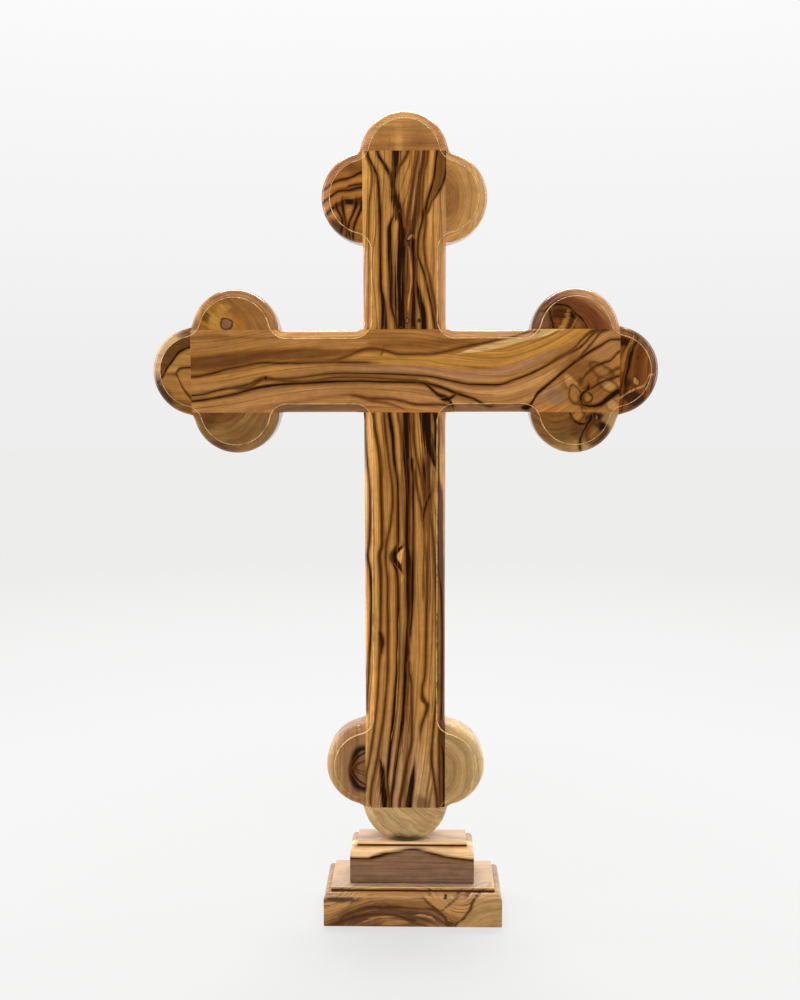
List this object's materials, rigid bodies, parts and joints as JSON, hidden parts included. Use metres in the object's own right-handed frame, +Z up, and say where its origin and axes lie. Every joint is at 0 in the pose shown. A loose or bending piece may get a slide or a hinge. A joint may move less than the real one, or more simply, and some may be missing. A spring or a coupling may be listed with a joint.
{
  "type": "standing wooden cross",
  "caption": "Budded cross of figured olive wood: crossbeam lapped into the post, round buds at every arm end, moulded edges, standing on a two-step plinth",
  "frame": {"origin": "on the floor at the middle of the object's box, under the axis of the post and at the middle of the cross's thickness", "axes": "+X to the viewer's right along the crossbeam, +Y to the back, +Z up along the post; the front faces -Y"},
  "size_m": [0.2592, 0.0412, 0.4217],
  "materials": {
    "post": "satin lacquer over golden olive wood with near-black upright bands",
    "crossbeam": "satin lacquer over brown olive wood with sweeping dark lines",
    "top_lobe_end": "satin lacquer over medium golden brown olive wood",
    "top_lobe_left": "satin lacquer over orange brown olive wood with bold dark bands",
    "top_lobe_right": "satin lacquer over pale tan olive sapwood",
    "left_lobe_end": "satin lacquer over golden olive wood with a dark cap",
    "left_lobe_upper": "satin lacquer over mottled golden olive burl with a knot",
    "left_lobe_lower": "satin lacquer over olive brown end grain",
    "right_lobe_end": "satin lacquer over contorted dark brown olive burl",
    "right_lobe_upper": "satin lacquer over mauve brown olive wood with a dark knot",
    "right_lobe_lower": "satin lacquer over ringed golden olive wood with a dark knot",
    "foot_lobe_end": "satin lacquer over pale olive sapwood",
    "foot_lobe_left": "satin lacquer over golden brown olive wood with a black arc",
    "foot_lobe_right": "satin lacquer over pale ringed olive sapwood",
    "plinth_upper": "satin lacquer over grey brown straight grained olive wood",
    "plinth_lower": "satin lacquer over golden olive wood with smoky dark figure"
  },
  "bodies": {
    "root": {"post": "post", "crossbeam": "crossbeam", "top_lobe_end": "top_lobe_end", "top_lobe_left": "top_lobe_left", "top_lobe_right": "top_lobe_right", "left_lobe_end": "left_lobe_end", "left_lobe_upper": "left_lobe_upper", "left_lobe_lower": "left_lobe_lower", "right_lobe_end": "right_lobe_end", "right_lobe_upper": "right_lobe_upper", "right_lobe_lower": "right_lobe_lower", "foot_lobe_end": "foot_lobe_end", "foot_lobe_left": "foot_lobe_left", "foot_lobe_right": "foot_lobe_right", "plinth_upper": "plinth_upper", "plinth_lower": "plinth_lower"}
  },
  "joints": []
}
